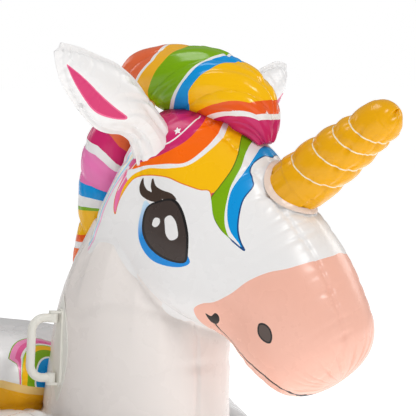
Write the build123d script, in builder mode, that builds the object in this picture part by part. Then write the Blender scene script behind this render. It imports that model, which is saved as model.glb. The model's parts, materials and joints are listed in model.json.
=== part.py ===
"""Inflatable unicorn ride-on pool float, modelled panel by panel as it is welded together.

The float faces -Y with +Z up and +X on the animal's left. The origin is on the ground, under the
middle of the float's overall length and width. All sizes are in millimetres. Each inflated bag is
a hollow skin with a wall of WALL, cut along its weld seams into the panels that it is made from.
"""

import math
import os

from build123d import *

# Driving dimensions
WALL = 3.0  # thickness of every welded skin
SEAM_HALF = 60.0  # half width of the strip between the two side panels of head and neck
PAD_T = 1.5  # thickness of a reinforcing patch
GAP = 0.3  # clearance between parts that move on each other

# Hull: left half of its plan from bow to stern, and the share of the plan at each level
HULL_CENTRE_Y = 80.0
HULL_REACH = 600.0
HULL_PLAN = [
    (0, -652), (175, -622), (315, -545), (425, -448), (540, -345), (645, -250), (697, -125), (678, 10),
    (612, 95), (575, 175), (592, 265), (652, 355), (695, 480), (688, 610), (618, 715),
    (500, 768), (372, 765), (240, 790), (120, 838), (0, 862),
]
HULL_LEVELS = [
    (0, 0.72), (6, 0.805), (24, 0.89), (66, 0.97), (117, 1.0), (162, 0.975), (203, 0.90), (231, 0.82),
    (246, 0.74), (252, 0.64),
]
HULL_SEAM_Z = 117.0
BAFFLE_YS = [-300, -60, 180, 420, 640]
BAFFLE_T = 2.0
BAFFLE_HALF = 430.0
BAFFLE_VENT_R = 28.0

# Seat: a saddle cushion on the hull behind the neck
SEAT_CENTRE_Y = 66.0
SEAT_REACH = 200.0
SEAT_PLAN = [
    (0, -256), (105, -244), (163, -190), (190, -60), (202, 80), (198, 220), (160, 325), (84, 372), (0, 384),
]
SEAT_LEVELS = [
    (190, 0.90), (252, 0.965), (300, 1.0), (338, 0.965), (364, 0.88), (381, 0.75), (389, 0.60),
]
SEAT_SEAM_Z = 300.0

# Backrest: a half round tube standing on the hull behind the seat
BACKREST_R = 95.0
BACKREST_Z = 326.0
BACKREST_BEND_R = 268.0
BACKREST_BEND_Y = 262.0

# Neck: height, middle in Y, half depth in Y, half width in X
NECK_STATIONS = [
    (150, -398, 210, 164), (211, -402, 206, 160), (300, -415, 195, 153), (390, -423, 188, 150),
    (500, -438, 171, 150), (569, -452, 150, 148), (630, -470, 128, 140),
]

# Head: distance back from the muzzle, offset towards the forehead, half depth, half width
MUZZLE_Y, MUZZLE_Z = -847.0, 370.0
HEAD_PITCH = 53.0
HEAD_STATIONS = [
    (-32, 0, 20, 16), (-26, 0, 52, 44), (-12, 0, 85, 73), (12, 0, 109, 96), (48, 0, 123, 112),
    (100, 0, 134, 122), (155, 0, 141, 128), (215, -28, 171, 134), (270, -66, 208, 141),
    (330, -98, 236, 147), (390, -114, 249, 150), (442, -114, 238, 149), (483, -88, 199, 144),
    (518, -50, 143, 132), (548, -28, 98, 110), (572, -20, 60, 78), (587, -18, 30, 42),
]

# Horn: distance along its axis and radius
HORN_BASE = (0, -766, 698)
HORN_PITCH = 34.8
HORN_STATIONS = [
    (-45, 55), (0, 55), (45, 56), (95, 54), (150, 49), (200, 43), (232, 38.5), (250, 30), (260, 18),
    (264, 7),
]
COLLAR_R = 68.0

# Ears: points along the middle, then half width and half thickness there
EAR_WIDTHS = [(66, 52), (42, 34), (58, 31), (47, 27), (28, 16), (7, 5)]
RIGHT_EAR_LINE = [
    (-88, -517, 760), (-160, -525, 832), (-225, -513, 865), (-290, -502, 901), (-337, -497, 933),
    (-362, -495, 956),
]
LEFT_EAR_LINE = [
    (88, -517, 760), (160, -540, 822), (225, -546, 850), (290, -547, 884), (337, -546, 909),
    (362, -545, 923),
]
EAR_FACING = (0.28, -0.96, 0.0)

# Forelock: Y, Z, pitch of the section's normal, half depth and half width
FORELOCK_STATIONS = [
    (-386, 878, 58, 14, 16), (-420, 902, 32, 42, 48), (-478, 905, 6, 63, 67), (-560, 896, -8, 69, 73),
    (-636, 872, -26, 65, 68), (-690, 830, -50, 47, 52), (-708, 780, -76, 15, 18),
]

# Mane down the back of the neck: Z, Y, half depth and half width
MANE_STATIONS = [
    (500, -259, 10, 12), (535, -294, 29, 34), (579, -318, 39, 46), (630, -332, 45, 54),
    (690, -342, 52, 58), (745, -352, 55, 60), (800, -372, 55, 58), (845, -398, 48, 52), (878, -418, 30, 36),
]

# Tail: Y, Z, pitch of the section's normal, half depth and half width
TAIL_STATIONS = [
    (692, 190, 40, 44, 48), (744, 238, 42, 52, 56), (804, 280, 24, 58, 60), (864, 288, -12, 57, 58),
    (914, 262, -44, 52, 54), (942, 212, -72, 46, 48), (950, 154, -88, 38, 40), (952, 106, -92, 22, 24),
    (952, 88, -90, 8, 9),
]

# Round holes that let the air through from bag to bag: middle, direction, radius and reach
HULL_PASSAGES = [
    ((0, 60, 252), (0, 0, 1), 45, 30), ((-190, 452, 252), (0, 0, 1), 26, 30),
    ((190, 452, 252), (0, 0, 1), 26, 30), ((0, 745, 215), (0, 0.6, 0.8), 22, 40),
]
HEAD_PASSAGES = [
    ((0, -450, 470), (0, -0.2, 1), 85, 110), ((0, -766, 698), (0, -0.82, 0.57), 30, 30),
    ((-130, -523, 800), (-0.7, 0, 0.7), 20, 40), ((130, -530, 800), (0.7, 0, 0.7), 20, 40),
    ((0, -560, 845), (0, -0.1, 1), 30, 35), ((0, -378, 690), (0, 0.9, 0.4), 22, 40),
]

# Grab handles, in a frame on the neck: X up the handle, Z out of the neck
HANDLE_AT = (-125, -319, 380)
HANDLE_OUT = (-0.8865, 0.4563, 0.0768)
HANDLE_UP = (0.085, 0.0, 0.9964)
PATCH_HALF_LENGTH, PATCH_HALF_WIDTH = 104.0, 30.0
PLATE_HALF_LENGTH, PLATE_HALF_WIDTH, PLATE_T = 76.0, 14.0, 5.0
GRIP_HALF, GRIP_OUT, GRIP_R, GRIP_BEND = 58.0, 63.0, 8.5, 26.0
GRIP_AXIS_Z = 19.0
FOOT_R, FOOT_HALF = 9.6, 8.8
STUB_R, STUB_LENGTH = 3.0, 6.0
LUG_T = 5.0

# Valves, in a frame on the skin: Z out of the float
HULL_VALVE_AT = (-330, 500, 252)
NECK_VALVE_AT = (0, -246.2, 440)
NECK_VALVE_OUT = (0, 0.963, 0.27)
FLANGE_R, FLANGE_T = 24.0, 1.6
WELL_R, WELL_WALL, WELL_DEPTH = 14.0, 1.6, 20.0
STEM_BORE_R, STEM_TOP, STEM_BOTTOM = 8.0, 3.0, -22.0
CAP_R, CAP_T = 11.0, 2.4
PLUG_TOP_R, PLUG_TIP_R, PLUG_LENGTH = 7.7, 5.4, 5.0
CAP_HINGE_Y, CAP_HINGE_Z, CAP_BARREL_R = -14.4, 4.6, 1.8
CAP_PIN_R, CAP_HALF_BARREL, CAP_LUG_T = 0.9, 3.6, 2.0
TAB_LENGTH = 6.5
FLAP_R, FLAP_T = 10.8, 1.2


def on_pitch(pitch):
    """Direction in the YZ plane that points forward (-Y) and up by pitch degrees."""
    angle = math.radians(pitch)
    return Vector(0, -math.cos(angle), math.sin(angle))


def bag(stations, inset=0.0):
    """Closed solid lofted through ellipses. A station is (origin, direction, x_dir, rx, ry)."""
    last = len(stations) - 1
    with BuildPart() as lofted:
        for index, (origin, direction, x_dir, rx, ry) in enumerate(stations):
            along = Vector(direction).normalized()
            step = {0: inset, last: -inset}.get(index, 0.0)
            plane = Plane(origin=Vector(origin) + along * step, x_dir=x_dir, z_dir=along)
            with BuildSketch(plane):
                Ellipse(rx - inset, ry - inset)
        loft()
    return lofted.part


def pad(plan, centre_y, levels, reach, inset=0.0):
    """A thick pad lofted through its plan at each level. A share of 1 / reach is 1 mm of plan."""
    low, high = levels[0][0], levels[-1][0]
    ring = [*plan, *[(-x, y) for x, y in reversed(plan[1:-1])]]
    with BuildPart() as lofted:
        for level, share in levels:
            height = low + inset + (level - low) * (high - low - 2 * inset) / (high - low)
            grown = share - inset / reach
            with BuildSketch(Plane.XY.offset(height)):
                with BuildLine():
                    Spline(*[(x * grown, centre_y + (y - centre_y) * grown) for x, y in ring], periodic=True)
                make_face()
        loft()
    return lofted.part


def hull_solid(inset=0.0):
    """The hull's closed form."""
    return pad(HULL_PLAN, HULL_CENTRE_Y, HULL_LEVELS, HULL_REACH, inset)


def seat_solid(inset=0.0):
    """The seat cushion's closed form."""
    return pad(SEAT_PLAN, SEAT_CENTRE_Y, SEAT_LEVELS, SEAT_REACH, inset)


def backrest_solid(inset=0.0):
    """The backrest's half round tube with its rounded ends."""
    radius = BACKREST_R - inset
    ends = [(side * BACKREST_BEND_R, BACKREST_BEND_Y, BACKREST_Z) for side in (-1, 1)]
    with BuildPart() as backrest:
        with BuildLine(Plane.XY.offset(BACKREST_Z)) as route:
            CenterArc((0, BACKREST_BEND_Y), BACKREST_BEND_R, 0, 180)
        with BuildSketch(Plane(origin=route.wire() @ 0, z_dir=route.wire() % 0)):
            Circle(radius)
        sweep(path=route.wire())
        with Locations(*ends):
            Sphere(radius)
    return backrest.part


def neck_solid(inset=0.0):
    """The neck's closed form."""
    stations = [
        ((0, y, z), (0, 0, 1), (1, 0, 0), half_width, half_depth)
        for z, y, half_depth, half_width in NECK_STATIONS
    ]
    return bag(stations, inset)


def head_stations():
    """The head's sections, from the muzzle back to the poll."""
    back = -on_pitch(-HEAD_PITCH)
    brow = on_pitch(90 - HEAD_PITCH)
    muzzle = Vector(0, MUZZLE_Y, MUZZLE_Z)
    return [
        (muzzle + back * along + brow * offset, back, (1, 0, 0), half_width, half_depth)
        for along, offset, half_depth, half_width in HEAD_STATIONS
    ]


def horn_stations():
    """The horn's sections along its axis."""
    axis = on_pitch(HORN_PITCH)
    return [(Vector(HORN_BASE) + axis * along, axis, (1, 0, 0), r, r) for along, r in HORN_STATIONS]


def ear_stations(line, side):
    """An ear's sections. side is -1 for the right ear and +1 for the left."""
    facing = Vector(side * EAR_FACING[0], EAR_FACING[1], EAR_FACING[2])
    stations = []
    for index, point in enumerate(line):
        ahead = Vector(line[min(index + 1, len(line) - 1)])
        behind = Vector(line[max(index - 1, 0)])
        along = (ahead - behind).normalized()
        width_dir = facing.cross(along).normalized()
        half_width, half_thickness = EAR_WIDTHS[index]
        stations.append((point, along, width_dir, half_width, half_thickness))
    return stations


def centre_stations(rows):
    """Sections on the middle plane, from rows of Y, Z, pitch, half depth and half width."""
    return [
        ((0, y, z), on_pitch(pitch), (1, 0, 0), half_width, half_depth)
        for y, z, pitch, half_depth, half_width in rows
    ]


def mane_stations():
    """The mane's level sections, from the bottom up."""
    return [
        ((0, y, z), (0, 0, 1), (1, 0, 0), half_width, half_depth)
        for z, y, half_depth, half_width in MANE_STATIONS
    ]


def tail_stations():
    """The tail's sections. It runs towards +Y, so its normals are turned about."""
    return [
        ((0, y, z), -on_pitch(-pitch), (1, 0, 0), half_width, half_depth)
        for y, z, pitch, half_depth, half_width in TAIL_STATIONS
    ]


def holes(passages):
    """The round air passages as solid rods, each reaching both ways from its middle."""
    with BuildPart() as rods:
        for middle, direction, radius, reach in passages:
            with BuildSketch(Plane(origin=middle, z_dir=direction)):
                Circle(radius)
            extrude(amount=reach, both=True)
    return rods.part


def skin(outer, inner, *trimmed_by):
    """The hollow skin of a bag, cut back where it meets other solids."""
    with BuildPart() as wall:
        add(outer)
        add(inner, mode=Mode.SUBTRACT)
        for other in trimmed_by:
            add(other, mode=Mode.SUBTRACT)
    return wall.part


def panel(wall, *cuts):
    """The part of a skin that each cut keeps. A cut is a seam plane and the side to keep."""
    with BuildPart() as piece:
        add(wall)
        for plane, keep in cuts:
            split(bisect_by=plane, keep=keep)
    return piece.part


def write(name, part):
    """Labels a finished piece and writes its STEP file."""
    part.label = name
    export_step(part, f"parts/{name}.step")


def write_sides(name, wall, half):
    """Writes a skin's left and right side panels, each beyond half from the middle plane."""
    write(f"{name}_left_panel", panel(wall, (Plane.YZ.offset(half), Keep.TOP)))
    write(f"{name}_right_panel", panel(wall, (Plane.YZ.offset(-half), Keep.BOTTOM)))


def write_levels(name, wall, level):
    """Writes a skin's top and bottom panels, welded together at a level."""
    write(f"{name}_top_panel", panel(wall, (Plane.XY.offset(level), Keep.TOP)))
    write(f"{name}_bottom_panel", panel(wall, (Plane.XY.offset(level), Keep.BOTTOM)))


os.makedirs("parts", exist_ok=True)

# Closed forms that trim their neighbours
hull_outer = hull_solid()
neck_outer = neck_solid()
head_outer = bag(head_stations())
horn_outer = bag(horn_stations())
forelock_outer = bag(centre_stations(FORELOCK_STATIONS))
seat_outer = seat_solid()
backrest_outer = backrest_solid()


def valve_plane(at, out):
    """Frame on the skin at a valve, with X across the float."""
    return Plane(origin=at, x_dir=(1, 0, 0), z_dir=out)


hull_valve_plane = valve_plane(HULL_VALVE_AT, (0, 0, 1))
neck_valve_plane = valve_plane(NECK_VALVE_AT, NECK_VALVE_OUT)


def well_hole(plane):
    """The round hole through the skin that a valve's well sits in."""
    with BuildPart() as hole:
        with BuildSketch(plane):
            Circle(WELL_R)
        extrude(amount=2 * WELL_DEPTH, both=True)
    return hole.part


hull_valve_hole = well_hole(hull_valve_plane)
neck_valve_hole = well_hole(neck_valve_plane)

# Hull
hull_skin = skin(hull_outer, hull_solid(WALL), hull_valve_hole, holes(HULL_PASSAGES))
write_levels("hull", hull_skin, HULL_SEAM_Z)

with BuildPart() as hull_baffles:
    for baffle_y in BAFFLE_YS:
        with BuildSketch(Plane.XZ.offset(-baffle_y)):
            with Locations((0, HULL_SEAM_Z)):
                Rectangle(2 * BAFFLE_HALF, 4 * HULL_SEAM_Z)
                with GridLocations(BAFFLE_HALF / 2, 0, 3, 1):
                    Circle(BAFFLE_VENT_R, mode=Mode.SUBTRACT)
        extrude(amount=BAFFLE_T / 2, both=True)
    add(hull_solid(WALL + 1), mode=Mode.INTERSECT)
write("hull_baffles", hull_baffles.part)

# Seat and backrest, which share the hull's air
write_levels("seat", skin(seat_outer, seat_solid(WALL), hull_outer, neck_outer, backrest_outer), SEAT_SEAM_Z)
write_levels("backrest", skin(backrest_outer, backrest_solid(WALL), hull_outer), BACKREST_Z)

# Neck and head, one chamber joined by the widest passage
neck_skin = skin(neck_outer, neck_solid(WALL), hull_outer, head_outer, neck_valve_hole)
write_sides("neck", neck_skin, SEAM_HALF)
neck_strip = ((Plane.YZ.offset(SEAM_HALF), Keep.BOTTOM), (Plane.YZ.offset(-SEAM_HALF), Keep.TOP))
neck_middle = Plane.XZ.offset(430)
write("neck_front_gusset", panel(neck_skin, *neck_strip, (neck_middle, Keep.TOP)))
write("neck_back_gusset", panel(neck_skin, *neck_strip, (neck_middle, Keep.BOTTOM)))

head_skin = skin(head_outer, bag(head_stations(), WALL), holes(HEAD_PASSAGES))
write_sides("head", head_skin, SEAM_HALF)
write("head_gusset", panel(head_skin, *neck_strip))

# Horn and the welded collar round its foot
write("horn_shell", skin(horn_outer, bag(horn_stations(), WALL), head_outer))

with BuildPart() as horn_collar:
    with BuildSketch(Plane(origin=HORN_BASE, x_dir=(1, 0, 0), z_dir=on_pitch(HORN_PITCH))):
        Circle(COLLAR_R)
    extrude(amount=COLLAR_R, both=True)
    add(bag(head_stations(), -PAD_T), mode=Mode.INTERSECT)
    add(head_outer, mode=Mode.SUBTRACT)
    add(horn_outer, mode=Mode.SUBTRACT)
write("horn_collar", horn_collar.part)

# Ears, each a front and a back panel
for side_name, line, side in (("right", RIGHT_EAR_LINE, -1), ("left", LEFT_EAR_LINE, 1)):
    ear_skin = skin(bag(ear_stations(line, side)), bag(ear_stations(line, side), WALL), head_outer)
    seam = Plane(origin=line[2], z_dir=(side * EAR_FACING[0], EAR_FACING[1], EAR_FACING[2]))
    write(f"{side_name}_ear_front_panel", panel(ear_skin, (seam, Keep.TOP)))
    write(f"{side_name}_ear_back_panel", panel(ear_skin, (seam, Keep.BOTTOM)))

# Forelock and mane, each welded along the middle plane
forelock_skin = skin(forelock_outer, bag(centre_stations(FORELOCK_STATIONS), WALL), head_outer)
write_sides("forelock", forelock_skin, 0)

mane_outer = bag(mane_stations())
mane_skin = skin(mane_outer, bag(mane_stations(), WALL), neck_outer, head_outer, forelock_outer)
write_sides("mane", mane_skin, 0)

# Tail
tail_skin = skin(bag(tail_stations()), bag(tail_stations(), WALL), hull_outer)
write_sides("tail", tail_skin, 0)

# Grab handle on the right of the neck, then its mirror image on the left
handle_plane = Plane(origin=HANDLE_AT, x_dir=HANDLE_UP, z_dir=HANDLE_OUT)

with BuildPart() as handle_patch:
    with BuildSketch(handle_plane):
        with BuildLine():
            ThreePointArc((-PATCH_HALF_LENGTH, 0), (0, PATCH_HALF_WIDTH), (PATCH_HALF_LENGTH, 0))
            ThreePointArc((PATCH_HALF_LENGTH, 0), (0, -PATCH_HALF_WIDTH), (-PATCH_HALF_LENGTH, 0))
        make_face()
    extrude(amount=PATCH_HALF_WIDTH, both=True)
    add(neck_solid(-PAD_T), mode=Mode.INTERSECT)
    add(neck_outer, mode=Mode.SUBTRACT)

with BuildPart() as handle_plate:
    with BuildSketch(handle_plane):
        SlotOverall(2 * PLATE_HALF_LENGTH, 2 * PLATE_HALF_WIDTH)
    extrude(amount=PATCH_HALF_WIDTH, both=True)
    add(neck_solid(-PAD_T - PLATE_T), mode=Mode.INTERSECT)
    for end in (-1, 1):
        lug_middle = end * (GRIP_HALF + FOOT_HALF + GAP + LUG_T / 2)
        with BuildSketch(handle_plane):
            with Locations((lug_middle, 0)):
                Rectangle(LUG_T, 2 * GRIP_R)
        extrude(amount=GRIP_AXIS_Z)
        lug_top = handle_plane.from_local_coords((lug_middle, 0, GRIP_AXIS_Z))
        with BuildSketch(Plane(lug_top, z_dir=handle_plane.x_dir)):
            Circle(GRIP_R)
        extrude(amount=LUG_T / 2, both=True)
        stub_root = handle_plane.from_local_coords((end * (GRIP_HALF + FOOT_HALF + GAP), 0, GRIP_AXIS_Z))
        with BuildSketch(Plane(stub_root, z_dir=handle_plane.x_dir * -end)):
            Circle(STUB_R)
        extrude(amount=STUB_LENGTH)
    add(neck_solid(-PAD_T), mode=Mode.SUBTRACT)

grip_plane = Plane(handle_plane.origin, x_dir=handle_plane.x_dir, z_dir=-handle_plane.y_dir)
with BuildPart() as handle_grip:
    with BuildLine(grip_plane) as grip_line:
        FilletPolyline(
            (-GRIP_HALF, GRIP_AXIS_Z), (-GRIP_HALF, GRIP_OUT),
            (GRIP_HALF, GRIP_OUT), (GRIP_HALF, GRIP_AXIS_Z),
            radius=GRIP_BEND,
        )
    grip_wire = grip_line.wire()
    with BuildSketch(Plane(grip_wire @ 0, z_dir=grip_wire % 0)):
        Circle(GRIP_R)
    sweep(path=grip_wire)
    for end in (-1, 1):
        foot_middle = handle_plane.from_local_coords((end * GRIP_HALF, 0, GRIP_AXIS_Z))
        with BuildSketch(Plane(foot_middle, z_dir=handle_plane.x_dir)):
            Circle(FOOT_R)
        extrude(amount=FOOT_HALF, both=True)
        socket_mouth = handle_plane.from_local_coords((end * (GRIP_HALF + FOOT_HALF), 0, GRIP_AXIS_Z))
        with BuildSketch(Plane(socket_mouth, z_dir=handle_plane.x_dir * -end)):
            Circle(STUB_R + 0.1)
        extrude(amount=STUB_LENGTH + 1, mode=Mode.SUBTRACT)

for piece_name, piece in (("patch", handle_patch), ("plate", handle_plate), ("grip", handle_grip)):
    write(f"right_handle_{piece_name}", piece.part)
    write(f"left_handle_{piece_name}", mirror(piece.part, about=Plane.YZ))


def write_valve(name, plane, flange_skin):
    """Writes a valve's four pieces. flange_skin is the layer that its flange is cut from."""
    with BuildPart() as base:
        with BuildSketch(plane):
            Circle(FLANGE_R)
        extrude(amount=WELL_DEPTH, both=True)
        add(flange_skin, mode=Mode.INTERSECT)
        with BuildSketch(plane.offset(FLANGE_T)):
            Circle(WELL_R)
        extrude(amount=-(WELL_DEPTH + FLANGE_T))
        with BuildSketch(plane.offset(-2 * WELL_DEPTH)):
            Circle(WELL_R - WELL_WALL)
        extrude(amount=4 * WELL_DEPTH, mode=Mode.SUBTRACT)
    write(f"{name}_valve_base", base.part)

    stem_r = WELL_R - WELL_WALL - GAP
    hinge_plane = Plane(plane.from_local_coords((0, CAP_HINGE_Y, CAP_HINGE_Z)), z_dir=plane.x_dir)
    lug_middle = CAP_HALF_BARREL + GAP + CAP_LUG_T / 2
    with BuildPart() as stem:
        with BuildSketch(plane.offset(STEM_BOTTOM)):
            Circle(stem_r)
        extrude(amount=STEM_TOP - STEM_BOTTOM)
        for end in (-1, 1):
            with BuildSketch(plane.offset(FLANGE_T + GAP)):
                with Locations((end * lug_middle, CAP_HINGE_Y - CAP_BARREL_R)):
                    Rectangle(CAP_LUG_T, TAB_LENGTH, align=(Align.CENTER, Align.MIN))
            extrude(amount=STEM_TOP - FLANGE_T - GAP)
            with BuildSketch(plane.offset(FLANGE_T + GAP)):
                with Locations((end * lug_middle, CAP_HINGE_Y)):
                    Rectangle(CAP_LUG_T, 2 * CAP_BARREL_R)
            extrude(amount=CAP_HINGE_Z - FLANGE_T - GAP)
            with BuildSketch(hinge_plane.offset(end * lug_middle)):
                Circle(CAP_BARREL_R)
            extrude(amount=CAP_LUG_T / 2, both=True)
        with BuildSketch(hinge_plane):
            Circle(CAP_PIN_R + 0.1)
        extrude(amount=CAP_HALF_BARREL + GAP + 2 * CAP_LUG_T, both=True, mode=Mode.SUBTRACT)
        with BuildSketch(plane.offset(STEM_BOTTOM)):
            Circle(STEM_BORE_R)
        extrude(amount=STEM_TOP - STEM_BOTTOM, mode=Mode.SUBTRACT)
    write(f"{name}_valve_stem", stem.part)

    with BuildPart() as plug:
        with BuildSketch(plane.offset(STEM_TOP + GAP)):
            Circle(CAP_R)
        extrude(amount=CAP_T)
        with BuildSketch(plane.offset(STEM_TOP + GAP)):
            Circle(PLUG_TOP_R)
        with BuildSketch(plane.offset(STEM_TOP + GAP - PLUG_LENGTH)):
            Circle(PLUG_TIP_R)
        loft()
        with BuildSketch(hinge_plane):
            Circle(CAP_BARREL_R)
        extrude(amount=CAP_HALF_BARREL, both=True)
        with BuildSketch(plane.offset(CAP_HINGE_Z - 0.8)):
            with Locations((0, (CAP_HINGE_Y - CAP_R + 2) / 2)):
                Rectangle(2 * CAP_HALF_BARREL, -CAP_HINGE_Y - CAP_R + 2)
        extrude(amount=1.6)
        with BuildSketch(hinge_plane):
            Circle(CAP_PIN_R)
        extrude(amount=CAP_HALF_BARREL + GAP + CAP_LUG_T, both=True)
    write(f"{name}_valve_plug", plug.part)

    with BuildPart() as flap:
        with BuildSketch(plane.offset(STEM_BOTTOM - GAP)):
            Circle(FLAP_R)
        extrude(amount=-FLAP_T)
    write(f"{name}_valve_flap", flap.part)


with BuildPart() as hull_flange_layer:
    with BuildSketch(hull_valve_plane):
        Circle(2 * FLANGE_R)
    extrude(amount=FLANGE_T)
write_valve("hull", hull_valve_plane, hull_flange_layer.part)
write_valve("neck", neck_valve_plane, skin(neck_solid(-FLANGE_T), neck_outer))
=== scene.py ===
"""Looks of the inflatable unicorn pool float: inflated vinyl bags with weld lines, creases and prints."""
import json
import math

import bmesh
import bpy
import numpy as np
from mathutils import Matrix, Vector, noise

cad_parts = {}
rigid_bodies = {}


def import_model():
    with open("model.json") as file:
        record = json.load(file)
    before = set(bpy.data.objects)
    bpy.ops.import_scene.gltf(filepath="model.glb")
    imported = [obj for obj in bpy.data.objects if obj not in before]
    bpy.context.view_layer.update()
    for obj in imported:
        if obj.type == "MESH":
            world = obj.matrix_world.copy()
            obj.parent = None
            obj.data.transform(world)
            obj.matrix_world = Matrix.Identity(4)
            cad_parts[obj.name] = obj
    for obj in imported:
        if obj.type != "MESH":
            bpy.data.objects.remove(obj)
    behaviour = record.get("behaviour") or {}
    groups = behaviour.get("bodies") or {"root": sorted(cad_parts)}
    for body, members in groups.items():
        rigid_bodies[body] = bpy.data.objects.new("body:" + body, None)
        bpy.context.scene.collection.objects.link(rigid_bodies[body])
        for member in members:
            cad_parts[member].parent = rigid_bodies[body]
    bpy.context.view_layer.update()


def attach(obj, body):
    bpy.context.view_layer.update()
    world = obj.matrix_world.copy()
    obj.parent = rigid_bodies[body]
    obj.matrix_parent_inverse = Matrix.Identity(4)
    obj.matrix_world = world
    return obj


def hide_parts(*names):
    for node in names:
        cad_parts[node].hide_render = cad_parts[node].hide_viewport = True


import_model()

MM = 0.001
SEAM_HALF = 0.060

# ---------------------------------------------------------------- shapes of the bags, in millimetres
HULL_CENTRE_Y = 80.0
HULL_PLAN = [
    (0, -652), (175, -622), (315, -545), (425, -448), (540, -345), (645, -250), (697, -125), (678, 10),
    (612, 95), (575, 175), (592, 265), (652, 355), (695, 480), (688, 610), (618, 715),
    (500, 768), (372, 765), (240, 790), (120, 838), (0, 862),
]
HULL_LEVELS = [
    (0, 0.0), (0, 0.40), (0, 0.66), (0.5, 0.73), (6, 0.805), (24, 0.89), (66, 0.97), (117, 1.0), (162, 0.975),
    (203, 0.90), (231, 0.82), (246, 0.74), (252, 0.64), (253, 0.35), (253, 0.0),
]
HULL_SEAM_Z = 0.117
BAFFLE_YS = (-0.300, -0.060, 0.180, 0.420, 0.640)
VALVE_AT = (-0.330, 0.500)
RIBBON = [(250, 250), (420, 225), (520, 120), (560, -60), (470, -210), (330, -260)]
RIBBON_LOWEST = 140.0
SEAT_CENTRE_Y = 66.0
SEAT_PLAN = [
    (0, -256), (105, -244), (163, -190), (190, -60), (202, 80), (198, 220), (160, 325), (84, 372), (0, 384),
]
SEAT_LEVELS = [
    (225, 0.95), (252, 0.965), (300, 1.0), (338, 0.965), (364, 0.88), (381, 0.75), (388, 0.60), (389, 0.3),
    (389, 0.0),
]
SEAT_SEAM_Z = 0.300
HULL_TOP = 0.252
# height in millimetres of the seat's gold border, at places along its edge in metres
GOLD_EDGE = (
    [0, 0.05, 0.12, 0.20, 0.33, 0.46, 0.60, 0.80, 1.0],
    [282, 284, 296, 318, 305, 322, 306, 322, 310],
)
BACKREST_R, BACKREST_Z, BACKREST_BEND_R, BACKREST_BEND_Y = 95.0, 326.0, 268.0, 262.0
NECK_STATIONS = [
    (150, -398, 210, 164), (211, -402, 206, 160), (300, -415, 195, 153), (390, -423, 188, 150),
    (500, -438, 171, 150), (569, -452, 150, 148), (630, -470, 128, 140),
]
MUZZLE = Vector((0, -847, 370))
HEAD_PITCH = 53.0
HEAD_STATIONS = [
    (-34, 0, 3, 3), (-32, 0, 20, 16), (-26, 0, 52, 44), (-12, 0, 85, 73), (12, 0, 109, 96), (48, 0, 123, 112),
    (100, 0, 134, 122), (155, 0, 141, 128), (215, -28, 171, 134), (270, -66, 208, 141),
    (330, -98, 236, 147), (390, -114, 249, 150), (442, -114, 238, 149), (483, -88, 199, 144),
    (518, -50, 143, 132), (548, -28, 98, 110), (572, -20, 60, 78), (587, -18, 30, 42), (590, -18, 5, 7),
]
HORN_BASE = Vector((0, -766, 698))
HORN_PITCH = 34.8
HORN_RINGS = np.array([70, 120, 165, 199])
HORN_RING_LEAN = np.array([1, 0.95, 0.85, 0.75])
HORN_STATIONS = [
    (-45, 55), (0, 55), (45, 56), (95, 54), (150, 49), (200, 43), (232, 38.5), (250, 30), (260, 18),
    (264, 7), (265, 1),
]
EAR_WIDTHS = [(52, 44), (42, 34), (58, 31), (47, 27), (28, 16), (7, 5)]
# the pink of the ear: how far out along it, and how far across
EAR_PINK = [
    (0.915, 0.50), (0.86, 0.30), (0.78, 0.25), (0.67, 0.29), (0.54, 0.33), (0.44, 0.40), (0.435, 0.54),
    (0.53, 0.69), (0.62, 0.80), (0.71, 0.79), (0.83, 0.68),
]
EAR_LINES = {
    "right": [
        (-88, -517, 760), (-160, -525, 832), (-225, -513, 865), (-290, -502, 901), (-337, -497, 933),
        (-362, -495, 956),
    ],
    "left": [
        (88, -517, 760), (160, -540, 822), (225, -546, 850), (290, -547, 884), (337, -546, 909),
        (362, -545, 923),
    ],
}
FORELOCK_STATIONS = [
    (-386, 878, 58, 14, 16), (-420, 902, 32, 42, 48), (-478, 905, 6, 63, 67), (-560, 896, -8, 69, 73),
    (-636, 872, -26, 65, 68), (-690, 830, -50, 47, 52), (-708, 780, -76, 15, 18),
]
MANE_STATIONS = [
    (500, -259, 10, 12), (535, -294, 29, 34), (579, -318, 39, 46), (630, -332, 45, 54),
    (690, -342, 52, 58), (745, -352, 55, 60), (800, -372, 55, 58), (845, -398, 48, 52), (878, -418, 30, 36),
]
TAIL_STATIONS = [
    (692, 190, 40, 44, 48), (744, 238, 42, 52, 56), (804, 280, 24, 58, 60), (864, 288, -12, 57, 58),
    (914, 262, -44, 52, 54), (942, 212, -72, 46, 48), (950, 154, -88, 38, 40), (952, 106, -92, 22, 24),
    (952, 88, -90, 8, 9),
]

# ---------------------------------------------------------------- colours, linear
WHITE = (0.86, 0.85, 0.845)
GOLD = (0.88, 0.42, 0.002)
YELLOW = (0.96, 0.52, 0.0)
ORANGE = (0.95, 0.14, 0.0)
MAGENTA = (0.60, 0.018, 0.14)
PINK = (0.90, 0.19, 0.42)
GREEN = (0.20, 0.42, 0.0)
LIME = (0.40, 0.62, 0.03)
BLUE = (0.0, 0.30, 0.72)
SALMON = (0.78, 0.14, 0.045)
SCARLET = (0.85, 0.11, 0.012)
INK = (0.012, 0.010, 0.010)


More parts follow.
